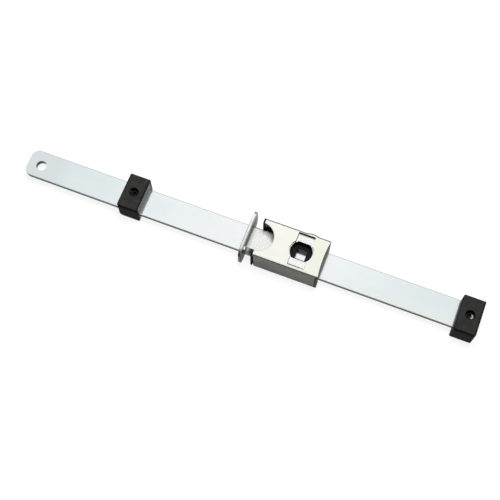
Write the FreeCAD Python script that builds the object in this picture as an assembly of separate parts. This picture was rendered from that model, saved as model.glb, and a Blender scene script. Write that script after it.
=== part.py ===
import FreeCAD, Part
import math
import os

# Window espagnolette: a flat drive bar moved by a gear case with a square spindle hub.
# X runs along the bar, Y across it and Z up. The origin lies on the spindle axis,
# on the plane that the two lock blocks stand on. All sizes are in millimetres.

os.makedirs("parts", exist_ok=True)

# Clearances
running_clearance = 0.06       # radial, hub boss in its bearing bore
slide_clearance = 0.15         # bar against what guides its faces and edges
pin_clearance = 0.30           # drive pin in the bar's notch, each side
seat_clearance = 0.05          # between parts that are put together and stay so

# Drive bar
bar_width = 20.0
bar_thickness = 4.0
bar_bottom = 6.1
bar_left_end = -207.3
bar_end_radius = 5.5           # rounding of the free end's corners
bar_end_hole_diameter = 7.5
bar_end_hole_inset = 10.1      # from the free end to the hole's centre
bar_end_hole_offset = -0.8     # of the hole's centre, off the bar's middle
bar_edge_break = 0.3

# Gear case cover, a folded box that is open at its left end and below
case_left = -30.3
case_right = 16.8
case_width = 28.9
case_bottom = 1.4
case_top = 22.0
cover_sheet = 1.2
cover_bend_radius = 1.7        # outside of the long bends
notch_radius = 10.5            # half-round notch in the left end of the top face
notch_centre_offset = 0.7      # of the notch's centre, outside the left end
end_arc_depth = 1.2            # hollow of the top sheet's right end, over the end wall
window_circle_diameter = 17.0
window_length = 12.2           # rectangle of the keyhole window, along the bar
window_near_reach = 12.2       # of that rectangle from the spindle axis
window_far_reach = 12.9
window_corner_radius = 0.8
swelling_centre = 3.7          # far wall pressed outwards beside the window's end
swelling_length = 9.4
swelling_rise = 0.8
swelling_bottom = 13.0
swelling_run_out = 4.0         # rounding of its lower end
lip_bar_gap = 1.35             # from the bar's edge to the side walls' inward returns
fold_tab_length = 9.0
fold_tab_reach = 3.2
fold_tab_places = (-22.0, 6.0)
fold_tab_corner_radius = 1.0

# Moulded frame that closes the cover's left end beside and below the bar
end_frame_thickness = 1.35
end_frame_spigot_reach = 1.6   # into the cover, between its lips

# Inner saddle with its neck, and the flange that is staked to the neck
saddle_sheet = 1.2
saddle_bend_radius = 2.2       # outside of the long bends
saddle_top_left = -14.0        # left edge of the saddle's bridge
bridge_near_flat = 6.2         # the two flats of the bridge's opening, from the axis
bridge_far_flat = 6.8
bridge_arc_radius = 7.9
neck_drop = 6.5                # height of the neck's rolled section
neck_inner_edge = 10.0         # half width left open above the bar
neck_room = 0.3                # round the neck where it leaves the case
flange_face = -37.9            # right face of the flange
flange_thickness = 2.0
flange_half_width = 17.2
flange_bottom = 0.2
flange_top = 24.9
flange_corner_radius = 7.0
flange_edge_break = 0.25
flange_slot_corner_radius = 0.6

# Back plate, glide and carrier
back_sheet = 1.2
back_plate_setback = 0.6       # from the inside of the left lips
back_plate_corner_radius = 1.0
glide_rivet_diameter = 3.2
glide_rivet_head_diameter = 5.6
glide_rivet_head_height = 1.0
glide_rivet_places = (-14.0, 9.0)
glide_rivet_head_chamfer = 0.5
glide_groove_depth = 0.8
carrier_setback = 1.0          # from the inside of the left lips
carrier_rail_height = 2.4      # above the bar, left of the bearing block

# Spindle hub and its drive pin
spindle_square = 7.0
spindle_clearance = 0.1        # each side of the square
hub_boss_radius = 8.3
hub_boss_top = 15.4
hub_disc_radius = 9.9
hub_disc_height = 2.0
hub_lift = 0.3                 # gap between the disc and the bar
hub_edge_chamfer = 0.5
crank_radius = 7.2
drive_pin_diameter = 5.0
drive_pin_tip_chamfer = 0.4
drive_pin_rest_angle = 135.0   # about Z from +X, at the end of the stroke

# Lock blocks, clamped on the bar by set screws
block_length = 15.4
block_width = 25.6
block_height = 18.4
block_side_offset = 0.9        # the bar's slot lies this far off the block's middle
left_block_centre = -124.9
right_block_centre = 120.8
block_corner_radius = 0.9
block_top_edge_break = 0.5
block_foot_radius = 3.0        # lower left edge of the left block
bar_end_inset = 0.5            # right end of the bar inside the right block
set_screw_diameter = 6.0
set_screw_length = 5.0
set_screw_chamfer = 0.5
set_screw_socket = 3.0
set_screw_socket_depth = 2.4
screw_hole_mouth_chamfer = 0.45

# Values that follow from the ones above
bar_top = bar_bottom + bar_thickness
half_bar = bar_width / 2
right_block_face = right_block_centre + block_length / 2
bar_right_end = right_block_face - bar_end_inset
bar_end_hole_x = bar_left_end + bar_end_hole_inset
half_case = case_width / 2
cover_inner_half = half_case - cover_sheet
lip_inner_half = half_bar + lip_bar_gap
cover_underside = case_top - cover_sheet
saddle_half = cover_inner_half - seat_clearance
saddle_top = cover_underside - seat_clearance
saddle_underside = saddle_top - saddle_sheet
saddle_inner_half = saddle_half - saddle_sheet
end_wall_inside = case_right - cover_sheet
end_wall_top = case_top - cover_sheet / 2
saddle_right = end_wall_inside - seat_clearance
notch_centre_x = case_left - notch_centre_offset
flange_back = flange_face - flange_thickness
end_frame_right = case_left - seat_clearance
end_frame_left = end_frame_right - end_frame_thickness
back_bottom = case_bottom + cover_sheet + seat_clearance
back_top = back_bottom + back_sheet
inside_bottom = back_top + seat_clearance
carrier_half = saddle_inner_half - seat_clearance
carrier_left = case_left + cover_sheet + carrier_setback
carrier_right = saddle_right - seat_clearance
carrier_underside = bar_top + slide_clearance
rail_inner_half = half_bar + slide_clearance
hub_bottom = bar_top + hub_lift
hub_disc_top = hub_bottom + hub_disc_height
arch_half = half_bar + 2 * slide_clearance
drive_pin_radius = drive_pin_diameter / 2
drive_pin_x = crank_radius * math.cos(math.radians(drive_pin_rest_angle))
drive_pin_y = crank_radius * math.sin(math.radians(drive_pin_rest_angle))
socket_side = spindle_square + 2 * spindle_clearance


def box(x_low, x_high, y_low, y_high, z_low, z_high):
    size = (x_high - x_low, y_high - y_low, z_high - z_low)
    return Part.makeBox(size[0], size[1], size[2], FreeCAD.Vector(x_low, y_low, z_low))


def upright_cylinder(x, y, radius, z_low, z_high):
    return Part.makeCylinder(radius, z_high - z_low, FreeCAD.Vector(x, y, z_low))


def edges_along(shape, direction, test):
    """Straight edges parallel to a direction whose middle passes a test."""
    found = []
    for edge in shape.Edges:
        if not isinstance(edge.Curve, Part.Line):
            continue
        start = edge.Vertexes[0].Point
        end = edge.Vertexes[-1].Point
        run = (end - start).normalize()
        if abs(abs(run.dot(direction)) - 1) > 1e-6:
            continue
        if test((start + end) * 0.5):
            found.append(edge)
    return found


def rounded(shape, radius, direction, test):
    return shape.makeFillet(radius, edges_along(shape, direction, test))


along_x = FreeCAD.Vector(1, 0, 0)
along_y = FreeCAD.Vector(0, 1, 0)
along_z = FreeCAD.Vector(0, 0, 1)


def folded_channel(x_low, x_high, half_width, z_low, z_high, sheet, bend_radius):
    """Inverted U of sheet along X, with rounded long bends."""
    outer = box(x_low, x_high, -half_width, half_width, z_low, z_high)
    outer = rounded(outer, bend_radius, along_x, lambda p: p.z > z_high - 0.01)
    inner_half = half_width - sheet
    inner = box(x_low - 1, x_high + 1, -inner_half, inner_half, z_low - 1, z_high - sheet)
    inner = rounded(inner, bend_radius - sheet, along_x, lambda p: p.z > z_high - sheet - 0.01)
    return outer.cut(inner)


def drive_bar():
    bar = box(bar_left_end, bar_right_end, -half_bar, half_bar, bar_bottom, bar_top)
    bar = rounded(bar, bar_end_radius, along_z, lambda p: p.x < bar_left_end + 0.01)
    bar = bar.makeChamfer(bar_edge_break, edges_along(bar, along_x, lambda p: True))
    hole_radius = bar_end_hole_diameter / 2
    bar = bar.cut(upright_cylinder(bar_end_hole_x, bar_end_hole_offset, hole_radius,
                                   bar_bottom - 1, bar_top + 1))
    # Open notch for the drive pin, which lies innermost at both ends of the stroke.
    notch_half = drive_pin_radius + pin_clearance
    notch_end = drive_pin_y - pin_clearance
    round_end = upright_cylinder(drive_pin_x, notch_end, notch_half, bar_bottom - 1, bar_top + 1)
    open_run = box(drive_pin_x - notch_half, drive_pin_x + notch_half,
                   notch_end, half_bar + 1, bar_bottom - 1, bar_top + 1)
    return bar.cut(round_end).cut(open_run)


def keyhole_window(z_low, z_high):
    circle = upright_cylinder(0, 0, window_circle_diameter / 2, z_low, z_high)
    slot = box(-window_length / 2, window_length / 2,
               -window_near_reach, window_far_reach, z_low, z_high)
    slot = rounded(slot, window_corner_radius, along_z, lambda p: True)
    return circle.fuse(slot)


# The rounded corner between a side wall and its lip ends here.
lip_corner_end = case_left + cover_bend_radius + cover_sheet / 2


def cover_side_lip(side):
    """Short inward return that stiffens the left end of a side wall."""
    # The near lip ends below the saddle's neck, which leaves the case there.
    lip_top = cover_underside
    if side < 0:
        lip_top = saddle_top - neck_drop - neck_room
    corner = half_case - cover_bend_radius
    outer = box(case_left, lip_corner_end, 0, half_case, case_bottom, cover_underside)
    outer = rounded(outer, cover_bend_radius, along_z,
                    lambda p: p.x < case_left + 0.01 and p.y > corner)
    inner = box(case_left + cover_sheet, lip_corner_end + 1,
                -1, cover_inner_half, case_bottom - 1, cover_underside + 1)
    inner = rounded(inner, cover_bend_radius - cover_sheet, along_z,
                    lambda p: p.x < case_left + cover_sheet + 0.01 and p.y > corner)
    lip = outer.cut(inner)
    reach = box(case_left - 1, case_right, lip_inner_half, cover_inner_half,
                case_bottom - 1, lip_top)
    wall = box(case_left - 1, case_right, cover_inner_half, half_case + 1,
               case_bottom - 1, cover_underside + 1)
    lip = lip.common(reach.fuse(wall))
    if side < 0:
        lip = lip.mirror(FreeCAD.Vector(0, 0, 0), along_y)
    return lip


def wall_swelling():
    """Shallow barrel on the far wall, its top edge rounded as the bend is."""
    half_chord = swelling_length / 2
    radius = (half_chord ** 2 + swelling_rise ** 2) / (2 * swelling_rise)
    barrel = upright_cylinder(swelling_centre, half_case + swelling_rise - radius, radius,
                              swelling_bottom, case_top)
    for height, rounding in ((case_top, cover_bend_radius), (swelling_bottom, swelling_run_out)):
        rim = [edge for edge in barrel.Edges if abs(edge.CenterOfMass.z - height) < 0.01]
        barrel = barrel.makeFillet(rounding, rim)
    outside = box(case_left, case_right, half_case - cover_bend_radius, half_case + 2,
                  case_bottom, case_top)
    inside = box(case_left, case_right, 0, cover_inner_half, case_bottom, cover_underside)
    return barrel.common(outside).cut(inside)


def case_cover():
    cover = folded_channel(case_left, case_right, half_case, case_bottom, case_top,
                           cover_sheet, cover_bend_radius)
    cover = cover.fuse(wall_swelling())
    # The walls' left ends are cut back where the rounded lips take their place.
    for side in (-1, 1):
        low = min(side * (cover_inner_half - 1), side * (half_case + 1))
        high = max(side * (cover_inner_half - 1), side * (half_case + 1))
        wall_end = box(case_left - 1, lip_corner_end, low, high,
                       case_bottom - 1, case_top - cover_bend_radius)
        cover = cover.cut(wall_end)
        cover = cover.fuse(cover_side_lip(side).common(
            box(case_left - 1, case_right, -half_case - 1, half_case + 1,
                case_bottom - 1, case_top - cover_bend_radius)))
    # A shallow arc hollows the top sheet's right end and bares the end wall's upper edge.
    arc_radius = (half_case ** 2 + end_arc_depth ** 2) / (2 * end_arc_depth)
    cover = cover.cut(upright_cylinder(case_right - end_arc_depth + arc_radius, 0, arc_radius,
                                       end_wall_top, case_top + 1))
    wall_middle = half_case - cover_sheet / 2
    end_wall = box(end_wall_inside, case_right, -wall_middle, wall_middle,
                   case_bottom, end_wall_top)
    arch = box(case_right - 5, case_right + 5, -arch_half, arch_half,
               case_bottom - 1, bar_top + 2 * slide_clearance)
    cover = cover.fuse(end_wall.cut(arch))
    # Tabs folded under the back plate.
    for place in fold_tab_places:
        for side in (-1, 1):
            inner = side * (cover_inner_half - fold_tab_reach)
            outer = side * wall_middle
            tab = box(place - fold_tab_length / 2, place + fold_tab_length / 2,
                      min(inner, outer), max(inner, outer),
                      case_bottom, case_bottom + cover_sheet)
            tab = rounded(tab, fold_tab_corner_radius, along_z,
                          lambda p: abs(p.y) < cover_inner_half - fold_tab_reach + 0.01)
            cover = cover.fuse(tab)
    cover = cover.cut(upright_cylinder(notch_centre_x, 0, notch_radius,
                                       saddle_underside, case_top + 1))
    cover = cover.cut(keyhole_window(cover_underside - 1, case_top + 1))
    return cover.removeSplitter()


def bridge_opening(z_low, z_high):
    """Round opening with two flats, for the boss of the handle."""
    disc = upright_cylinder(0, 0, bridge_arc_radius, z_low, z_high)
    return disc.common(box(-bridge_arc_radius, bridge_arc_radius,
                           -bridge_near_flat, bridge_far_flat, z_low - 1, z_high + 1))


def neck(x_low, x_high, spare):
    """Rolled strip along the saddle's near edge, larger all round by a spare."""
    strip = folded_channel(x_low, x_high, saddle_half + spare, saddle_top - neck_drop - spare,
                           saddle_top + spare, saddle_sheet + 2 * spare,
                           saddle_bend_radius + spare)
    near_side = box(x_low - 1, x_high + 1, -half_case, spare - neck_inner_edge,
                    case_bottom, case_top)
    return strip.common(near_side)


def inner_saddle():
    rails = folded_channel(carrier_left, saddle_right, saddle_half, inside_bottom,
                           saddle_top, saddle_sheet, saddle_bend_radius)
    # Left of the bridge only the two rolled edges and the legs remain.
    open_top = box(carrier_left - 1, saddle_top_left, -neck_inner_edge, neck_inner_edge,
                   saddle_underside - saddle_bend_radius, saddle_top + 1)
    saddle = rails.cut(open_top)
    saddle = saddle.cut(bridge_opening(saddle_underside - 1, saddle_top + 1))
    # The near rolled edge runs on as a neck, its end staked in the flange.
    saddle = saddle.fuse(neck(flange_back, carrier_left + saddle_sheet, 0))
    return saddle.removeSplitter()


def end_flange():
    """Upright plate across the bar, with a slot that the bar runs through."""
    plate = box(flange_back, flange_face, -flange_half_width, flange_half_width,
                flange_bottom, flange_top)
    plate = rounded(plate, flange_corner_radius, along_x, lambda p: True)
    plate = plate.makeChamfer(flange_edge_break, [
        edge for edge in plate.Edges
        if abs(edge.CenterOfMass.x - flange_face) < 0.01
        or abs(edge.CenterOfMass.x - flange_back) < 0.01])
    bar_slot = box(flange_face - 5, flange_face + 5, -arch_half, arch_half,
                   bar_bottom - slide_clearance, bar_top + slide_clearance)
    bar_slot = rounded(bar_slot, flange_slot_corner_radius, along_x, lambda p: True)
    neck_hole = neck(flange_back - 1, flange_face + 1, seat_clearance)
    return plate.cut(bar_slot).cut(neck_hole)


def end_frame():
    """Upright frame round the bar, open at the top, with two spigots in the cover."""
    plate = box(end_frame_left, end_frame_right, -half_case, half_case, case_bottom, case_top)
    plate = rounded(plate, cover_bend_radius, along_x, lambda p: p.z > case_top - 0.01)
    opening = box(end_frame_left - 1, end_frame_right + 1, -notch_radius, notch_radius,
                  bar_bottom - slide_clearance, case_top + 1)
    frame = plate.cut(opening)
    spigot_half = lip_inner_half - seat_clearance
    for side in (-1, 1):
        low = min(side * notch_radius, side * spigot_half)
        high = max(side * notch_radius, side * spigot_half)
        frame = frame.fuse(box(end_frame_right, end_frame_right + end_frame_spigot_reach,
                               low, high, inside_bottom, saddle_top - neck_drop - neck_room))
    sill = box(end_frame_right, end_frame_right + end_frame_spigot_reach,
               -spigot_half, spigot_half, inside_bottom, bar_bottom - slide_clearance)
    frame = frame.fuse(sill)
    return frame.cut(neck(end_frame_left - 1, end_frame_right + 1, neck_room)).removeSplitter()


def rivet_holes(z_low, z_high):
    radius = glide_rivet_diameter / 2 + seat_clearance
    holes = [upright_cylinder(x, 0, radius, z_low - 1, z_high + 1) for x in glide_rivet_places]
    return holes[0].fuse(holes[1:])


def case_back_plate():
    plate = box(case_left + cover_sheet + back_plate_setback, saddle_right,
                -saddle_half, saddle_half, back_bottom, back_top)
    plate = rounded(plate, back_plate_corner_radius, along_z, lambda p: True)
    return plate.cut(rivet_holes(back_bottom, back_top))


def glide_rivets():
    """Two headed rivets that hold the glide to the back plate."""
    shank_top = bar_bottom - slide_clearance - glide_groove_depth
    rivets = []
    for x in glide_rivet_places:
        shank = upright_cylinder(x, 0, glide_rivet_diameter / 2, back_bottom, shank_top)
        head = upright_cylinder(x, 0, glide_rivet_head_diameter / 2,
                                back_bottom - glide_rivet_head_height, back_bottom)
        foot_height = back_bottom - glide_rivet_head_height
        rim = [edge for edge in head.Edges if abs(edge.CenterOfMass.z - foot_height) < 0.01]
        head = head.makeChamfer(glide_rivet_head_chamfer, rim)
        rivets.append(head.fuse(shank).removeSplitter())
    return Part.makeCompound(rivets)


def hub_carrier():
    """Moulded carrier: a bearing for the hub, with two rails beside the bar."""
    body = box(saddle_top_left, carrier_right, -carrier_half, carrier_half,
               carrier_underside, saddle_underside - seat_clearance)
    inner_bend = saddle_bend_radius - saddle_sheet + seat_clearance
    body = rounded(body, inner_bend, along_x, lambda p: p.z > saddle_underside - 2 * seat_clearance)
    rails = box(carrier_left, carrier_right, -carrier_half, carrier_half,
                inside_bottom, bar_top + carrier_rail_height)
    channel = box(carrier_left - 1, carrier_right + 1, -rail_inner_half, rail_inner_half,
                  inside_bottom - 1, carrier_underside)
    over_bar = box(carrier_left - 1, saddle_top_left, -rail_inner_half, rail_inner_half,
                   inside_bottom - 1, case_top)
    carrier = body.fuse(rails.cut(over_bar)).cut(channel)
    bearing = upright_cylinder(0, 0, hub_boss_radius + running_clearance,
                               hub_disc_top, saddle_top)
    disc_room = upright_cylinder(0, 0, hub_disc_radius + 2 * slide_clearance,
                                 carrier_underside - 1, hub_disc_top + slide_clearance)
    return carrier.cut(bearing).cut(disc_room).removeSplitter()


def bar_glide():
    """Low strip that the bar slides on, with raised runners."""
    inner_half = rail_inner_half - 3 * slide_clearance
    top = bar_bottom - slide_clearance
    strip = box(carrier_left, carrier_right, -inner_half, inner_half, inside_bottom, top)
    groove_half = inner_half / 3
    for middle in (-inner_half / 2, inner_half / 2):
        groove = box(carrier_left - 1, carrier_right + 1, middle - groove_half / 2,
                     middle + groove_half / 2, top - glide_groove_depth, top + 1)
        strip = strip.cut(groove)
    return strip.cut(rivet_holes(inside_bottom, top))


def spindle_hub():
    disc = upright_cylinder(0, 0, hub_disc_radius, hub_bottom, hub_disc_top)
    boss = upright_cylinder(0, 0, hub_boss_radius, hub_disc_top, hub_boss_top)
    hub = disc.fuse(boss).removeSplitter()
    half = socket_side / 2
    socket = box(-half, half, -half, half, hub_bottom - 1, hub_boss_top + 1)
    hub = hub.cut(socket)
    upper = [edge for edge in hub.Edges if abs(edge.CenterOfMass.z - hub_boss_top) < 0.01]
    hub = hub.makeChamfer(hub_edge_chamfer, upper)
    pin_hole = upright_cylinder(drive_pin_x, drive_pin_y, drive_pin_radius,
                                hub_bottom - 1, hub_disc_top)
    return hub.cut(pin_hole)


def hub_drive_pin():
    low = bar_bottom + pin_clearance
    pin = upright_cylinder(drive_pin_x, drive_pin_y, drive_pin_radius, low, hub_disc_top)
    tip = [edge for edge in pin.Edges if abs(edge.CenterOfMass.z - low) < 0.01
           and not isinstance(edge.Curve, Part.Line)]
    return pin.makeChamfer(drive_pin_tip_chamfer, tip)


def lock_block(centre_x, side_offset, with_round_foot):
    """Clamp block with a slot for the bar and a threaded hole over it."""
    low_x = centre_x - block_length / 2
    high_x = centre_x + block_length / 2
    low_y = side_offset - block_width / 2
    high_y = side_offset + block_width / 2
    block = box(low_x, high_x, low_y, high_y, 0, block_height)
    if with_round_foot:
        block = rounded(block, block_foot_radius, along_y,
                        lambda p: p.x < low_x + 0.01 and p.z < 0.01)
    upright = edges_along(block, along_z, lambda p: True)
    block = block.makeFillet(block_corner_radius, upright)
    rim = [edge for edge in block.Edges
           if min(v.Point.z for v in edge.Vertexes) > block_height - 0.01]
    block = block.makeFillet(block_top_edge_break, rim)
    slot_half = half_bar + slide_clearance
    slot = box(low_x - 1, high_x + 1, -slot_half, slot_half,
               bar_bottom - slide_clearance, bar_top + slide_clearance)
    block = block.cut(slot)
    hole_radius = set_screw_diameter / 2
    block = block.cut(upright_cylinder(centre_x, side_offset, hole_radius,
                                       bar_top, block_height + 1))
    mouth = Part.makeCone(hole_radius, hole_radius + screw_hole_mouth_chamfer,
                          screw_hole_mouth_chamfer,
                          FreeCAD.Vector(centre_x, side_offset,
                                         block_height - screw_hole_mouth_chamfer))
    return block.cut(mouth)


def set_screw(centre_x, centre_y):
    """Hexagon socket set screw, its flat point just on the bar."""
    radius = set_screw_diameter / 2 - seat_clearance
    low = bar_top + seat_clearance
    high = low + set_screw_length
    screw = upright_cylinder(centre_x, centre_y, radius, low, high)
    ends = [edge for edge in screw.Edges if not isinstance(edge.Curve, Part.Line)]
    screw = screw.makeChamfer(set_screw_chamfer, ends)
    corner_radius = set_screw_socket / math.sqrt(3)
    corners = []
    for turn in range(7):
        angle = math.radians(60 * turn)
        corners.append(FreeCAD.Vector(centre_x + corner_radius * math.cos(angle),
                                      centre_y + corner_radius * math.sin(angle),
                                      high - set_screw_socket_depth))
    socket = Part.Face(Part.makePolygon(corners)).extrude(
        FreeCAD.Vector(0, 0, set_screw_socket_depth + 1))
    return screw.cut(socket)


pieces = {
    "drive_bar": drive_bar(),
    "case_cover": case_cover(),
    "inner_saddle": inner_saddle(),
    "end_flange": end_flange(),
    "end_frame": end_frame(),
    "case_back_plate": case_back_plate(),
    "hub_carrier": hub_carrier(),
    "bar_glide": bar_glide(),
    "glide_rivets": glide_rivets(),
    "spindle_hub": spindle_hub(),
    "hub_drive_pin": hub_drive_pin(),
    "lock_block_left": lock_block(left_block_centre, block_side_offset, True),
    "lock_block_right": lock_block(right_block_centre, -block_side_offset, False),
    "set_screw_left": set_screw(left_block_centre, block_side_offset),
    "set_screw_right": set_screw(right_block_centre, -block_side_offset),
}

for node, shape in pieces.items():
    shape.exportStep("parts/" + node + ".step")
    print(node, "solids", len(shape.Solids), "valid", shape.isValid(),
          "volume", round(shape.Volume, 1))
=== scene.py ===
import math

import bmesh
import bpy
from mathutils import Matrix, Vector


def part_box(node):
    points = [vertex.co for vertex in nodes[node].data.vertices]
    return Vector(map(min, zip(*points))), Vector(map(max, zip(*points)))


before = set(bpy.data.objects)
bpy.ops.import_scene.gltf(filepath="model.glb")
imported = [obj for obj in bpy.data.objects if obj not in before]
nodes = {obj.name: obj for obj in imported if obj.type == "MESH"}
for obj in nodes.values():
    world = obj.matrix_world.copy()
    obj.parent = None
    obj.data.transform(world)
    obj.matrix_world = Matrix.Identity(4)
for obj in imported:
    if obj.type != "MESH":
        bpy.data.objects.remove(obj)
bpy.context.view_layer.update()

print("frame loaded:", len(nodes), "nodes")

# spans of a noise pattern's values: nearly all of them, and the middle ones
noiseSpan = (0.3, 0.7)
noiseCore = (0.35, 0.65)
bevelSamples = 6


# Shader helpers. Patterns read Object coordinates, in metres, and so they move with their piece.

def emptyTree(owner, outputKind):
    owner.use_nodes = True
    tree = owner.node_tree
    tree.nodes.clear()
    return tree, tree.nodes.new(outputKind)


def startFinish(name):
    material = bpy.data.materials.new(name)
    tree, output = emptyTree(material, "ShaderNodeOutputMaterial")
    surface = tree.nodes.new("ShaderNodeBsdfPrincipled")
    tree.links.new(surface.outputs["BSDF"], output.inputs["Surface"])
    return material, tree, surface


def objectPlace(tree, stretch=(1, 1, 1)):
    coords = tree.nodes.new("ShaderNodeTexCoord")
    mapping = tree.nodes.new("ShaderNodeMapping")
    mapping.inputs["Scale"].default_value = stretch
    tree.links.new(coords.outputs["Object"], mapping.inputs["Vector"])
    return mapping.outputs["Vector"]


def objectAxis(tree, axis):
    split = tree.nodes.new("ShaderNodeSeparateXYZ")
    tree.links.new(objectPlace(tree), split.inputs["Vector"])
    return split.outputs[axis]


def surfaceNormal(tree, axis):
    # how far the face looks along one of the part's own axes, from -1 to 1
    coords = tree.nodes.new("ShaderNodeTexCoord")
    split = tree.nodes.new("ShaderNodeSeparateXYZ")
    tree.links.new(coords.outputs["Normal"], split.inputs["Vector"])
    return split.outputs[axis]


def cloud(tree, size, stretch=(1, 1, 1), detail=3.0):
    # size is the width in metres of one soft blob
    noise = tree.nodes.new("ShaderNodeTexNoise")
    noise.inputs["Scale"].default_value = 1 / size
    noise.inputs["Detail"].default_value = detail
    tree.links.new(objectPlace(tree, stretch), noise.inputs["Vector"])
    return noise.outputs["Fac"]


def spread(tree, value, span, toLow=0, toHigh=1):
    # turns the values of span into those from toLow to toHigh, and stays there outside it
    node = tree.nodes.new("ShaderNodeMapRange")
    for label, number in zip(("From Min", "From Max", "To Min", "To Max"), (*span, toLow, toHigh)):
        node.inputs[label].default_value = number
    tree.links.new(value, node.inputs["Value"])
    return node.outputs["Result"]


def work(tree, operation, first, second=None):
    node = tree.nodes.new("ShaderNodeMath")
    node.operation = operation
    for socket, value in zip(node.inputs, (first, second)):
        if value is None:
            continue
        if isinstance(value, (int, float)):
            socket.default_value = value
        else:
            tree.links.new(value, socket)
    return node.outputs["Value"]


def product(tree, first, second):
    return work(tree, "MULTIPLY", first, second)


def larger(tree, first, second):
    return work(tree, "MAXIMUM", first, second)


def between(tree, value, low, high, soft):
    # 1 from low to high, with each limit softened to both sides
    return product(tree, spread(tree, value, (low - soft, low + soft)),
                   spread(tree, value, (high - soft, high + soft), 1, 0))


def inRectangle(tree, spanX, spanY, soft):
    return product(tree, between(tree, objectAxis(tree, "X"), *spanX, soft),
                   between(tree, objectAxis(tree, "Y"), *spanY, soft))


def reachFrom(tree, middle):
    # distance in plan from the upright line through middle
    squares = [work(tree, "POWER", work(tree, "SUBTRACT", objectAxis(tree, axis), start), 2)
               for axis, start in zip("XY", middle)]
    return work(tree, "SQRT", work(tree, "ADD", *squares))


def steepness(tree, span):
    # 1 on walls and 0 on level faces, by the size of the normal's Z
    return spread(tree, work(tree, "ABSOLUTE", surfaceNormal(tree, "Z")), span, 1, 0)


def blendColours(tree, factor, first, second):
    node = tree.nodes.new("ShaderNodeMix")
    node.data_type = "RGBA"
    node.clamp_factor = True
    tree.links.new(factor, node.inputs["Factor"])
    colourSockets = [socket for socket in node.inputs if socket.type == "RGBA"]
    for socket, value in zip(colourSockets, (first, second)):
        if isinstance(value, tuple):
            socket.default_value = (*value, 1)
        else:
            tree.links.new(value, socket)
    return [socket for socket in node.outputs if socket.type == "RGBA"][0]


def layColours(tree, colour, *layers):
    # layers are (mask, colour), each laid over those before it
    for mask, over in layers:
        colour = blendColours(tree, mask, colour, over)
    return colour


def addBump(tree, surface, layers, edgeRound):
    # layers are (height, strength, depth in metres), the first one lowest, over rounded edges
    bevel = tree.nodes.new("ShaderNodeBevel")
    bevel.samples = bevelSamples
    bevel.inputs["Radius"].default_value = edgeRound
    under = bevel.outputs["Normal"]
    for height, strength, depth in layers:
        bump = tree.nodes.new("ShaderNodeBump")
        bump.inputs["Strength"].default_value = strength
        bump.inputs["Distance"].default_value = depth
        tree.links.new(height, bump.inputs["Height"])
        tree.links.new(under, bump.inputs["Normal"])
        under = bump.outputs["Normal"]
    tree.links.new(under, surface.inputs["Normal"])


def roughFrom(tree, look, pattern):
    return spread(tree, pattern, noiseSpan, *look["roughness"])


def closeFinish(tree, surface, look, colour, rough, layers):
    tree.links.new(colour, surface.inputs["Base Color"])
    tree.links.new(rough, surface.inputs["Roughness"])
    surface.inputs["Specular IOR Level"].default_value = look["specular"]
    addBump(tree, surface, layers, look["edgeRound"])


# Finishes

# Most pairs are the span over which a tone comes or goes, and shares are its amounts at the two ends.
# Three numbers are from, to and softness. Places and depths are in metres, turns are values of the face's
# normal, a bump is a strength and a depth, and a noise's stretch below 1 draws it longer.

barZinc = {
    "bright": (0.885, 0.912, 0.915),
    "dull": (0.815, 0.860, 0.868),
    "paintedEndShade": (0.69, 0.78, 0.795),                 # painted shade towards both ends, where the bar's reflection is dimmer
    "endShares": (0.75, 1),                         # where the clouds are thin, where they are thick
    "leftFade": (-0.095, -0.175),
    "rightFade": (0.020, 0.130),
    "tipTone": (0.68, 0.735, 0.748),                # and greyest round the hole
    "tipFade": (-0.174, -0.186),
    "tipShare": 0.9,
    "nearTone": (0.79, 0.83, 0.79),                 # paler along the near edge of the right half
    "nearFade": (0.035, 0.060),
    "nearAcross": (-0.0075, -0.0020),
    "nearShare": 0.85,
    "notchTone": (0.81, 0.815, 0.79),                 # warmer where it lies open in the cover's notch
    "notchToneAlong": (-0.0375, -0.0200, 0.0005),
    "slid": (0.84, 0.85, 0.825),                    # polished where it runs in under the cover
    "paintedLight": (0.97, 0.975, 0.95),                   # painted paler along the far side of the notch, to offset the cover's shade on the bar
    "coverAlong": (-0.0300, -0.0200, 0.0007),
    "polishMiddle": (-0.0294, -0.0042),
    "polishReach": (0.0090, 0.0100),
    "farEdgeShade": (0.62, 0.64, 0.62),                  # painted shade: a thin dark line along the far edge
    "lineAcross": (0.0093, 0.0102, 0.0002),
    "notchEdgeShade": (0.20, 0.20, 0.19),                # the same painted shade line, darker inside the notch where the cover shades it
    "notchAlong": (-0.0377, -0.0290, 0.0003),
    # bare steel on the cut sides, painted near-black for the shade on them as well
    "bareEdgeAndShade": (0.055, 0.060, 0.056),
    "edgeTurn": (0.35, 0.8),
    "metallic": 0.94,
    "edgeMetallic": 0.1,
    "mattAlong": (-0.0377, -0.0200, 0.0003),
    "mattLoss": 0.88,                               # how much of the metal goes there
    "specular": 0.3,
    "roughness": (0.09, 0.17),
    "edgeRougher": 0.25,
    "cloudSize": 0.018,
    "cloudStretch": (0.45, 1, 1),
    "cloudSpan": (0.35, 0.68),
    "cloudShare": 0.75,
    "streakSize": 0.0011,
    "streakStretch": (0.03, 1, 1),
    "streakBump": (0.12, 0.00002),
    "grainSize": 0.0004,
    "grainBump": (0.12, 0.00001),
    "edgeRound": 0.00025,
}


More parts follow.
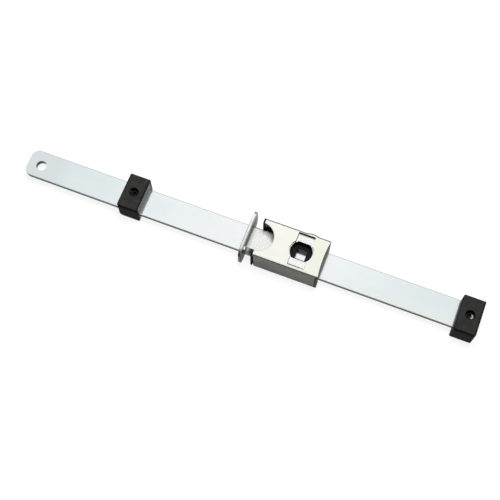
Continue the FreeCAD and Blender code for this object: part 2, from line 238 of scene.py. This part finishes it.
def zincBarFinish():
    look = barZinc
    material, tree, surface = startFinish("zincBar")
    clouds = cloud(tree, look["cloudSize"], look["cloudStretch"], detail=4)
    streaks = cloud(tree, look["streakSize"], look["streakStretch"], detail=4)
    grain = cloud(tree, look["grainSize"], detail=2)
    along = objectAxis(tree, "X")
    across = objectAxis(tree, "Y")
    sides = steepness(tree, look["edgeTurn"])
    tone = work(tree, "ADD", spread(tree, clouds, look["cloudSpan"], 0, look["cloudShare"]),
                spread(tree, streaks, noiseCore, 0, 1 - look["cloudShare"]))
    plated = blendColours(tree, tone, look["bright"], look["dull"])
    ends = larger(tree, spread(tree, along, look["leftFade"]), spread(tree, along, look["rightFade"]))
    ends = product(tree, ends, spread(tree, clouds, noiseSpan, *look["endShares"]))
    tip = spread(tree, along, look["tipFade"], 0, look["tipShare"])
    nearSide = product(tree, spread(tree, along, look["nearFade"]),
                       spread(tree, across, look["nearAcross"], look["nearShare"], 0))
    notchTone = between(tree, along, *look["notchToneAlong"])
    # beside the cover the bar is polished within a reach of one point, and beyond it is painted paler to
    # offset the cover's shade
    byCover = between(tree, along, *look["coverAlong"])
    toPolish = reachFrom(tree, look["polishMiddle"])
    polished = product(tree, byCover, spread(tree, toPolish, look["polishReach"], 1, 0))
    paintedLight = product(tree, byCover, spread(tree, toPolish, look["polishReach"]))
    lineColour = blendColours(tree, between(tree, along, *look["notchAlong"]),
                              look["farEdgeShade"], look["notchEdgeShade"])
    farEdgeShade = between(tree, across, *look["lineAcross"])
    colour = layColours(tree, plated, (ends, look["paintedEndShade"]), (tip, look["tipTone"]),
                        (nearSide, look["nearTone"]), (notchTone, look["notchTone"]),
                        (polished, look["slid"]), (paintedLight, look["paintedLight"]),
                        (farEdgeShade, lineColour), (sides, look["bareEdgeAndShade"]))
    # in the cover's notch the bar is matt, apart from the polished part
    matt = product(tree, between(tree, along, *look["mattAlong"]), work(tree, "SUBTRACT", 1, polished))
    metal = work(tree, "SUBTRACT", spread(tree, sides, (0, 1), look["metallic"], look["edgeMetallic"]),
                 product(tree, matt, look["mattLoss"]))
    tree.links.new(metal, surface.inputs["Metallic"])
    rough = work(tree, "ADD", roughFrom(tree, look, streaks), product(tree, sides, look["edgeRougher"]))
    closeFinish(tree, surface, look, colour, rough,
                [(streaks, *look["streakBump"]), (grain, *look["grainBump"])])
    return material


coverCream = {
    "pale": (0.87, 0.87, 0.80),
    "warm": (0.845, 0.845, 0.775),
    "yellowed": (0.815, 0.825, 0.725),              # towards the end wall
    "yellowFade": (-0.002, 0.013),
    "yellowShare": 0.8,
    "wallShade": (0.42, 0.42, 0.38),                 # painted shade on the walls, mottled like the shading of waves, darkest at their feet
    "wallTurn": (0.2, 0.4),
    "wallHeights": (0.001, 0.021),
    "wallShares": (0.36, -0.12),
    "waveSpan": (0.40, 0.60),
    "waveShares": (-0.12, 0.42),
    "bendShade": (0.10, 0.10, 0.088),                # painted shade along the long bends
    "nearBend": (0.38, 0.83, 0.05),                 # span of the normal's Z, and its softness
    "nearTurn": (-0.5, -0.3),
    "farBend": (0.25, 0.97, 0.02),
    "farTurn": (0.2, 0.35),
    # painted shade on the end wall and below the top face at that end
    "endWallShade": (0.105, 0.114, 0.108),
    "endTurn": (0.5, 0.8),
    "endFade": (0.012, 0.014),
    "shadeUnderHeights": (0.02165, 0.0218),
    "shadeUnderFade": (0.0148, 0.0150),
    "cutEdgeAndShade": (0.035, 0.034, 0.030),               # bare sheared steel round the window and the notch, painted near-black for the shade inside them too
    "cutTurn": (0.35, 0.6),
    "windowX": (-0.0088, 0.0088),
    "windowY": (-0.0125, 0.0131),
    "windowSoft": 0.0001,
    "notchMiddle": (-0.0310, 0.0),
    "notchReach": (0.0106, 0.0108),
    "notchRimShade": (0.62, 0.62, 0.57),                 # painted shade line on the top sheet's rim along the notch
    "rimReach": (0.0107, 0.0111),
    "rimTurn": (0.9, 0.98),
    "specular": 0.03,
    "roughness": (0.36, 0.50),
    "cloudSize": 0.011,
    "peelSize": 0.0006,
    "peelBump": (0.3, 0.00003),
    "waveSize": 0.0014,
    "waveStretch": (0.16, 1, 1),
    "edgeRound": 0.0002,
}


def creamCoverFinish():
    look = coverCream
    material, tree, surface = startFinish("creamCover")
    clouds = cloud(tree, look["cloudSize"], detail=4)
    peel = cloud(tree, look["peelSize"], detail=3)
    waves = cloud(tree, look["waveSize"], look["waveStretch"], detail=4)
    along = objectAxis(tree, "X")
    height = objectAxis(tree, "Z")
    normalY = surfaceNormal(tree, "Y")
    normalZ = surfaceNormal(tree, "Z")
    painted = blendColours(tree, spread(tree, clouds, noiseCore), look["pale"], look["warm"])
    yellow = spread(tree, along, look["yellowFade"], 0, look["yellowShare"])
    # drawing the sheet left waves on the long walls; their shading is painted on as grey mottling, darker
    # towards their feet
    wavy = work(tree, "ADD", spread(tree, height, look["wallHeights"], *look["wallShares"]),
                spread(tree, waves, look["waveSpan"], *look["waveShares"]))
    walls = product(tree, steepness(tree, look["wallTurn"]), wavy)
    nearBend = product(tree, between(tree, normalZ, *look["nearBend"]),
                       spread(tree, normalY, look["nearTurn"], 1, 0))
    farBend = product(tree, between(tree, normalZ, *look["farBend"]),
                      spread(tree, normalY, look["farTurn"]))
    # painted shade on the end wall, and on all that lies below the top face at that end
    endWallShade = product(tree, spread(tree, surfaceNormal(tree, "X"), look["endTurn"]),
                      spread(tree, along, look["endFade"]))
    shadeUnderTop = product(tree, spread(tree, height, look["shadeUnderHeights"], 1, 0),
                    spread(tree, along, look["shadeUnderFade"]))
    inWindow = inRectangle(tree, look["windowX"], look["windowY"], look["windowSoft"])
    toNotch = reachFrom(tree, look["notchMiddle"])
    inNotch = spread(tree, toNotch, look["notchReach"], 1, 0)
    cut = product(tree, steepness(tree, look["cutTurn"]), larger(tree, inWindow, inNotch))
    rim = product(tree, spread(tree, toNotch, look["rimReach"], 1, 0),
                  spread(tree, normalZ, look["rimTurn"]))
    colour = layColours(tree, painted, (yellow, look["yellowed"]), (walls, look["wallShade"]),
                        (larger(tree, nearBend, farBend), look["bendShade"]),
                        (larger(tree, endWallShade, shadeUnderTop), look["endWallShade"]),
                        (cut, look["cutEdgeAndShade"]), (rim, look["notchRimShade"]))
    closeFinish(tree, surface, look, colour, roughFrom(tree, look, peel), [(peel, *look["peelBump"])])
    return material


saddleZinc = {
    "bright": (0.885, 0.89, 0.87),
    "dull": (0.81, 0.825, 0.815),
    "slopeShade": (0.10, 0.105, 0.10),              # painted shade on the slopes of its bends
    "slopeTurn": (0.80, 0.93),
    "upwardTurn": (-0.2, 0.0),
    "joint": (0.10, 0.10, 0.09),                    # painted shade in the gaps round the window
    "leftJoint": (-0.0064, -0.00575, 0.0001),
    "leftAcross": (0.0, 0.004),
    "leftShares": (0.35, 1.0),
    "rightJoint": (0.0057, 0.0066, 0.0001),
    "rightAcross": (-0.009, -0.008),
    "rightShares": (0.35, 0),
    "nearJoint": (-0.01105, -0.0107),
    "nearSpan": (0.3, 0.5),
    "nearShares": (0.5, 0.85),
    "jointHeights": (0.018, 0.019),
    "neckFade": (-0.0306, -0.0300),
    "neckDark": (0.060, 0.066, 0.072),                 # the neck, dark
    # painted highlight in the neck's middle
    "neckHighlight": (0.28, 0.30, 0.31),
    "middleAlong": (-0.0357, -0.0338, 0.0005),
    "paleSpot": (0.92, 0.94, 0.95),                     # a pale spot at the neck's flange end
    "paleSpotAlong": (-0.0369, -0.0365),
    "paleSpotAcross": (0.0121, 0.0125),
    "neckRootShade": (0.012, 0.013, 0.014),              # painted shade where the neck runs in under the cover
    "rootFade": (-0.0330, -0.0322),
    "metallic": 0.6,
    "slopeMetallic": 0.1,
    "specular": 0.2,
    "roughness": (0.22, 0.34),
    "cloudSize": 0.006,
    "grainSize": 0.0005,
    "grainBump": (0.25, 0.00002),
    "edgeRound": 0.0002,
}


def zincSaddleFinish():
    look = saddleZinc
    material, tree, surface = startFinish("zincSaddle")
    clouds = cloud(tree, look["cloudSize"], detail=4)
    grain = cloud(tree, look["grainSize"], detail=3)
    along = objectAxis(tree, "X")
    across = objectAxis(tree, "Y")
    normalZ = surfaceNormal(tree, "Z")
    plated = blendColours(tree, spread(tree, clouds, noiseCore), look["bright"], look["dull"])
    slopes = product(tree, spread(tree, normalZ, look["slopeTurn"], 1, 0),
                     spread(tree, normalZ, look["upwardTurn"]))
    leftJoint = product(tree, between(tree, along, *look["leftJoint"]),
                        spread(tree, across, look["leftAcross"], *look["leftShares"]))
    nearJoint = product(tree, spread(tree, across, look["nearJoint"], 1, 0),
                        spread(tree, clouds, look["nearSpan"], *look["nearShares"]))
    rightJoint = product(tree, between(tree, along, *look["rightJoint"]),
                         spread(tree, across, look["rightAcross"], *look["rightShares"]))
    joints = larger(tree, rightJoint, larger(tree, leftJoint, nearJoint))
    joints = product(tree, joints, spread(tree, objectAxis(tree, "Z"), look["jointHeights"]))
    # the neck is dark, with a painted highlight in its middle, a pale spot at its flange end, and painted
    # shade where it runs in under the cover
    neckDark = blendColours(tree, between(tree, along, *look["middleAlong"]),
                         look["neckDark"], look["neckHighlight"])
    paleSpot = product(tree, spread(tree, along, look["paleSpotAlong"], 1, 0),
                   spread(tree, work(tree, "ABSOLUTE", across), look["paleSpotAcross"], 1, 0))
    neck = layColours(tree, neckDark, (paleSpot, look["paleSpot"]),
                      (spread(tree, along, look["rootFade"]), look["neckRootShade"]))
    colour = layColours(tree, plated, (slopes, look["slopeShade"]), (joints, look["joint"]),
                        (spread(tree, along, look["neckFade"], 1, 0), neck))
    tree.links.new(spread(tree, slopes, (0, 1), look["metallic"], look["slopeMetallic"]),
                   surface.inputs["Metallic"])
    closeFinish(tree, surface, look, colour, roughFrom(tree, look, grain), [(grain, *look["grainBump"])])
    return material


flangeZinc = {
    "bright": (0.77, 0.785, 0.75),
    "dull": (0.66, 0.68, 0.65),
    "farBright": (0.92, 0.93, 0.90),
    "farFade": (0.002, 0.012),
    "farShare": 0.8,
    "edgeLine": (0.22, 0.22, 0.21),                 # outer face and a line above it, fainter far off
    "edgeFade": (-0.03955, -0.03945),
    "edgeAcross": (0.0120, 0.0040),
    "edgeShares": (0.15, 0.8),
    "endFace": (0.88, 0.88, 0.86),                  # the near end, pale with a dark top
    "endTop": (0.12, 0.12, 0.115),
    "endHeights": (0.0155, 0.0175),
    "nearTurn": (-0.75, -0.45),
    "farEndShade": (0.13, 0.13, 0.125),              # painted shade on the far end, which turns away
    "farTurn": (0.45, 0.65),
    "caseSideShade": (0.098, 0.110, 0.090),                 # painted shade on the face towards the case
    "caseSideShadePale": (0.13, 0.14, 0.135),
    "caseShadeSpan": (0.4, 0.6),
    "caseShadeShare": 0.35,
    "caseTurn": (0.4, 0.7),
    "caseSideLit": (0.52, 0.525, 0.50),               # painted light on its far end and its upper part
    "caseSideLitFade": (0.0105, 0.0120),
    "upperLitHeights": (0.0172, 0.0249),
    "upperLitShare": 0.85,
    "upperShine": 0.55,
    "nearTipShade": (0.022, 0.024, 0.022),              # painted shade on its near end
    "nearTipFade": (-0.0130, -0.0120),
    "nearTipHeights": (0.017, 0.021),
    "nearTipShares": (1, 0.2),
    "metallic": 0.4,
    "specular": 0.02,
    "roughness": (0.26, 0.36),
    "cloudSize": 0.005,
    "grainSize": 0.0005,
    "grainBump": (0.25, 0.00002),
    "edgeRound": 0.0002,
}


def zincFlangeFinish():
    look = flangeZinc
    material, tree, surface = startFinish("zincFlange")
    clouds = cloud(tree, look["cloudSize"], detail=4)
    grain = cloud(tree, look["grainSize"], detail=3)
    across = objectAxis(tree, "Y")
    height = objectAxis(tree, "Z")
    normalY = surfaceNormal(tree, "Y")
    plated = blendColours(tree, spread(tree, clouds, noiseCore), look["bright"], look["dull"])
    farSide = spread(tree, across, look["farFade"], 0, look["farShare"])
    outerEdge = product(tree, spread(tree, objectAxis(tree, "X"), look["edgeFade"], 1, 0),
                        spread(tree, across, look["edgeAcross"], *look["edgeShares"]))
    nearEnd = spread(tree, normalY, look["nearTurn"], 1, 0)
    farEnd = spread(tree, normalY, look["farTurn"])
    nearColour = blendColours(tree, spread(tree, height, look["endHeights"]),
                              look["endFace"], look["endTop"])
    outside = layColours(tree, plated, (farSide, look["farBright"]), (outerEdge, look["edgeLine"]),
                         (nearEnd, nearColour), (farEnd, look["farEndShade"]))
    # the face towards the case has painted shade, with painted light at its far end and higher up
    caseSideShading = blendColours(tree, spread(tree, clouds, look["caseShadeSpan"], 0, look["caseShadeShare"]),
                        look["caseSideShade"], look["caseSideShadePale"])
    nearTipShade = product(tree, spread(tree, across, look["nearTipFade"], 1, 0),
                       spread(tree, height, look["nearTipHeights"], *look["nearTipShares"]))
    paintedBright = spread(tree, height, look["upperLitHeights"])
    inside = layColours(tree, caseSideShading, (spread(tree, across, look["caseSideLitFade"]), look["caseSideLit"]),
                        (nearTipShade, look["nearTipShade"]),
                        (product(tree, paintedBright, look["upperLitShare"]), look["caseSideLit"]))
    towardsCase = spread(tree, surfaceNormal(tree, "X"), look["caseTurn"])
    dull = larger(tree, towardsCase, larger(tree, nearEnd, farEnd))
    shine = product(tree, product(tree, paintedBright, towardsCase), look["upperShine"])
    tree.links.new(work(tree, "ADD", spread(tree, dull, (0, 1), look["metallic"], 0), shine),
                   surface.inputs["Metallic"])
    closeFinish(tree, surface, look, blendColours(tree, towardsCase, outside, inside),
                roughFrom(tree, look, grain), [(grain, *look["grainBump"])])
    return material


blackPlastic = {
    "dark": (0.0275, 0.0285, 0.0270),
    "worn": (0.043, 0.045, 0.0420),
    "cloudSize": 0.004,
    "cloudSpan": (0.4, 0.7),
    "cloudShare": 0.7,
    "speckSize": 0.0012,
    "speckSpan": (0.4, 0.65),
    "speckShare": 0.35,
    "blockShade": (0.006, 0.006, 0.006),               # painted shade on roundings, in holes, along dark lines, and partly on the sides
    "sideTurn": (0.3, 0.7),
    "sideShare": 0.45,
    "rounding": (0.15, 0.92, 0.05),                 # span of the normal's Z, and its softness
    "nearTurn": (-0.7, -0.4),
    "upperHeights": (0.0135, 0.0152),
    "upperShare": 0.7,
    "edgeRougher": 0.22,
    "lineSteps": (0.0062, 0.0074),                  # from the middle of the screw hole
    "lineSoft": 0.0004,
    "lineTurn": (0.90, 0.97),
    "lineShare": 0.5,
    "holeReach": (0.0031, 0.0033),
    "threadPitch": 0.0010,
    "threadBump": (0.9, 0.00025),
    "paintedBarReflection": (0.135, 0.142, 0.148),               # painted reflection of the bar on the face of the left block
    "shineTurn": (0.85, 0.95),
    "shine": 1.0,
    "shineNear": (-0.0108, -0.0100),
    "shineFar": (0.0098, 0.0108),
    "shineBeyond": 0.5,                             # what is left of the shine past the far side
    "specular": 0.015,
    "roughness": (0.42, 0.58),
    "grainSize": 0.00055,
    "grainBump": (0.5, 0.00004),
    "edgeRound": 0.0003,
}


def blackBlockFinish(name, holePlace=None, mirrorSide=False):
    look = blackPlastic
    material, tree, surface = startFinish(name)
    clouds = cloud(tree, look["cloudSize"], detail=4)
    specks = cloud(tree, look["speckSize"], detail=2)
    grain = cloud(tree, look["grainSize"], detail=3)
    across = objectAxis(tree, "Y")
    height = objectAxis(tree, "Z")
    normalZ = surfaceNormal(tree, "Z")
    mottle = work(tree, "ADD", spread(tree, clouds, look["cloudSpan"], 0, look["cloudShare"]),
                  spread(tree, specks, look["speckSpan"], 0, look["speckShare"]))
    plain = blendColours(tree, mottle, look["dark"], look["worn"])
    sides = steepness(tree, look["sideTurn"])
    rounding = between(tree, normalZ, *look["rounding"])
    darkened = [product(tree, sides, look["sideShare"]), rounding]
    rough = roughFrom(tree, look, grain)
    layers = [(grain, *look["grainBump"])]
    if holePlace:
        # the near face has painted shade and is dullest along its upper edge
        upper = product(tree, spread(tree, surfaceNormal(tree, "Y"), look["nearTurn"], 1, 0),
                        spread(tree, height, look["upperHeights"]))
        rough = work(tree, "ADD", rough,
                     product(tree, larger(tree, upper, rounding), look["edgeRougher"]))
        # a narrow line on the top, beside the edge towards +X, gets painted shade too
        lineFrom, lineTo = (holePlace[0] + step for step in look["lineSteps"])
        line = product(tree, between(tree, objectAxis(tree, "X"), lineFrom, lineTo, look["lineSoft"]),
                       spread(tree, normalZ, look["lineTurn"], 0, look["lineShare"]))
        # rings of thread in the screw hole, which also gets painted shade
        inHole = spread(tree, reachFrom(tree, holePlace), look["holeReach"], 1, 0)
        turns = work(tree, "SINE", product(tree, height, 2 * math.pi / look["threadPitch"]))
        layers.append((product(tree, turns, inHole), *look["threadBump"]))
        darkened += [product(tree, upper, look["upperShare"]), line, inHole]
    colour = layColours(tree, plain, *((mask, look["blockShade"]) for mask in darkened))
    if mirrorSide:
        # painted reflection: the face towards +X is lighter and metallic over the width of the bar, which
        # it mirrors
        overBar = product(tree, spread(tree, across, look["shineNear"]),
                          spread(tree, across, look["shineFar"], 1, look["shineBeyond"]))
        facing = product(tree, overBar,
                         spread(tree, surfaceNormal(tree, "X"), look["shineTurn"], 0, look["shine"]))
        colour = blendColours(tree, facing, colour, look["paintedBarReflection"])
        tree.links.new(facing, surface.inputs["Metallic"])
    closeFinish(tree, surface, look, colour, rough, layers)
    return material


darkMetal = {
    "dark": (0.012, 0.012, 0.012),
    "worn": (0.05, 0.05, 0.05),
    "wornSpan": (0.5, 0.8),
    "paintedBright": (0.46, 0.46, 0.45),                   # painted glint on the right screw
    "glintShift": 0.0022,                          # from the middle of the screw
    "glintX": (-0.0010, 0.0012),
    "glintY": (-0.0014, 0.0017),
    "glintSoft": 0.0002,
    "socket": (0.13, 0.14, 0.155),                  # painted light on the walls of the hub's square socket
    "socketHalf": 0.0038,
    "socketSoft": 0.0001,
    "socketTurn": (0.3, 0.5),
    "metallic": 0.25,
    "specular": 0.04,
    "roughness": (0.36, 0.52),
    "grainSize": 0.0007,
    "grainBump": (0.3, 0.00002),
    "edgeRound": 0.0002,
}


def darkMetalFinish(name, glintPlace=None, withSocket=False):
    look = darkMetal
    material, tree, surface = startFinish(name)
    grain = cloud(tree, look["grainSize"], detail=4)
    colour = blendColours(tree, spread(tree, grain, look["wornSpan"]), look["dark"], look["worn"])
    # a painted glint at the given place
    if glintPlace:
        spanX, spanY = ([middle + step for step in steps]
                        for middle, steps in zip(glintPlace, (look["glintX"], look["glintY"])))
        colour = blendColours(tree, inRectangle(tree, spanX, spanY, look["glintSoft"]),
                              colour, look["paintedBright"])
    if withSocket:
        span = (-look["socketHalf"], look["socketHalf"])
        inSocket = product(tree, inRectangle(tree, span, span, look["socketSoft"]),
                           steepness(tree, look["socketTurn"]))
        colour = blendColours(tree, inSocket, colour, look["socket"])
    surface.inputs["Metallic"].default_value = look["metallic"]
    closeFinish(tree, surface, look, colour, roughFrom(tree, look, grain), [(grain, *look["grainBump"])])
    return material


def dress(material, *names):
    for name in names:
        piece = nodes[name]
        piece.data.materials.clear()
        piece.data.materials.append(material)


def planMiddle(name):
    low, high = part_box(name)
    return (low[0] + high[0]) / 2, (low[1] + high[1]) / 2


dress(zincBarFinish(), "drive_bar")
dress(creamCoverFinish(), "case_cover")
dress(zincSaddleFinish(), "inner_saddle", "case_back_plate", "glide_rivets")
dress(zincFlangeFinish(), "end_flange")
dress(blackBlockFinish("blackCarrier"), "hub_carrier", "bar_glide", "end_frame")
dress(darkMetalFinish("hubMetal", withSocket=True), "spindle_hub")
dress(darkMetalFinish("pinMetal"), "hub_drive_pin")
for side in ("left", "right"):
    middle = planMiddle("set_screw_" + side)
    dress(blackBlockFinish(side + "Block", middle, mirrorSide=side == "left"), "lock_block_" + side)
    # only the right screw gets a painted glint
    paintedBright = (middle[0] + darkMetal["glintShift"], middle[1]) if side == "right" else None
    dress(darkMetalFinish(side + "Screw", paintedBright), "set_screw_" + side)
print("finishes on")


# Floor, light and camera

def grey(level):
    return level, level, level, 1


def addToScene(name, data):
    holder = bpy.data.objects.new(name, data)
    bpy.context.scene.collection.objects.link(holder)
    return holder


def aimed(place, direction):
    return Matrix.Translation(place) @ direction.to_track_quat("-Z", "Y").to_matrix().to_4x4()


def seenDirectly(tree):
    # 1 for what the camera sees, also in metal and through glass
    path = tree.nodes.new("ShaderNodeLightPath")
    either = larger(tree, path.outputs["Is Camera Ray"], path.outputs["Is Glossy Ray"])
    return larger(tree, either, path.outputs["Is Transmission Ray"])


def mixShaders(tree, factor, first, second):
    node = tree.nodes.new("ShaderNodeMixShader")
    for socket, value in zip(node.inputs, (factor, first, second)):
        tree.links.new(value, socket)
    return node.outputs[0]


def diffuse(tree, level):
    node = tree.nodes.new("ShaderNodeBsdfDiffuse")
    node.inputs["Color"].default_value = grey(level)
    return node.outputs[0]


floorLook = {
    "size": 6.0,
    "albedo": 0.22,
    "glow": 0.84,
    "fade": (0.25, 0.60),       # between these distances it runs into the white background
    "bounce": 0.20,
}


def layFloor():
    mesh = bpy.data.meshes.new("floor")
    grid = bmesh.new()
    bmesh.ops.create_grid(grid, x_segments=1, y_segments=1, size=floorLook["size"] / 2)
    grid.to_mesh(mesh)
    grid.free()
    floor = addToScene("floor", mesh)
    material = bpy.data.materials.new("paleFloor")
    tree, output = emptyTree(material, "ShaderNodeOutputMaterial")
    glow = tree.nodes.new("ShaderNodeEmission")
    away = spread(tree, reachFrom(tree, (0.0, 0.0)), floorLook["fade"], floorLook["glow"], 1.0)
    tree.links.new(away, glow.inputs["Strength"])
    seen = tree.nodes.new("ShaderNodeAddShader")
    tree.links.new(diffuse(tree, floorLook["albedo"]), seen.inputs[0])
    tree.links.new(glow.outputs[0], seen.inputs[1])
    above = mixShaders(tree, seenDirectly(tree), diffuse(tree, floorLook["bounce"]), seen.outputs[0])
    # from below the floor is clear, so that the underside can be looked at
    clear = tree.nodes.new("ShaderNodeBsdfTransparent")
    side = tree.nodes.new("ShaderNodeNewGeometry")
    tree.links.new(mixShaders(tree, side.outputs["Backfacing"], above, clear.outputs[0]),
                   output.inputs["Surface"])
    mesh.materials.append(material)


worldLook = {"background": 1.0, "fill": 0.10}


def hangBackground():
    world = bpy.data.worlds.new("studio")
    bpy.context.scene.world = world
    tree, output = emptyTree(world, "ShaderNodeOutputWorld")
    background = tree.nodes.new("ShaderNodeBackground")
    background.inputs["Color"].default_value = grey(1)
    strength = spread(tree, seenDirectly(tree), (0, 1), worldLook["fill"], worldLook["background"])
    tree.links.new(strength, background.inputs["Strength"])
    tree.links.new(background.outputs[0], output.inputs["Surface"])


lampLook = {
    "place": (0.0, 0.16, 0.90),
    "aim": (0, 0, 0),
    "size": 0.45,
    "power": 8.45,
}


def hangLamp():
    data = bpy.data.lights.new("overhead", "AREA")
    data.shape = "RECTANGLE"
    data.size = lampLook["size"]
    data.size_y = lampLook["size"]
    data.energy = lampLook["power"]
    holder = addToScene("overhead", data)
    holder.matrix_world = aimed(lampLook["place"], Vector(lampLook["aim"]) - Vector(lampLook["place"]))
    holder.visible_camera = False
    holder.visible_glossy = False


cameraLook = {
    "place": (0.0533, -0.2362, 0.6594),
    "azimuth": 21.01,       # from the -Y side towards +X
    "elevation": 69.33,
    "lens": 72.0,
    "sensor": 36.0,
    "nearest": 0.01,
    "farthest": 20,
}


def setCamera():
    data = bpy.data.cameras.new("camera")
    data.lens = cameraLook["lens"]
    data.sensor_width = cameraLook["sensor"]
    data.clip_start = cameraLook["nearest"]
    data.clip_end = cameraLook["farthest"]
    turn = math.radians(cameraLook["azimuth"])
    tilt = math.radians(cameraLook["elevation"])
    back = Vector((math.sin(turn) * math.cos(tilt), -math.cos(turn) * math.cos(tilt), math.sin(tilt)))
    holder = addToScene("camera", data)
    holder.matrix_world = aimed(cameraLook["place"], -back)
    bpy.context.scene.camera = holder


layFloor()
hangBackground()
hangLamp()
setCamera()
bpy.context.scene.view_settings.view_transform = "Standard"
print("stage set")
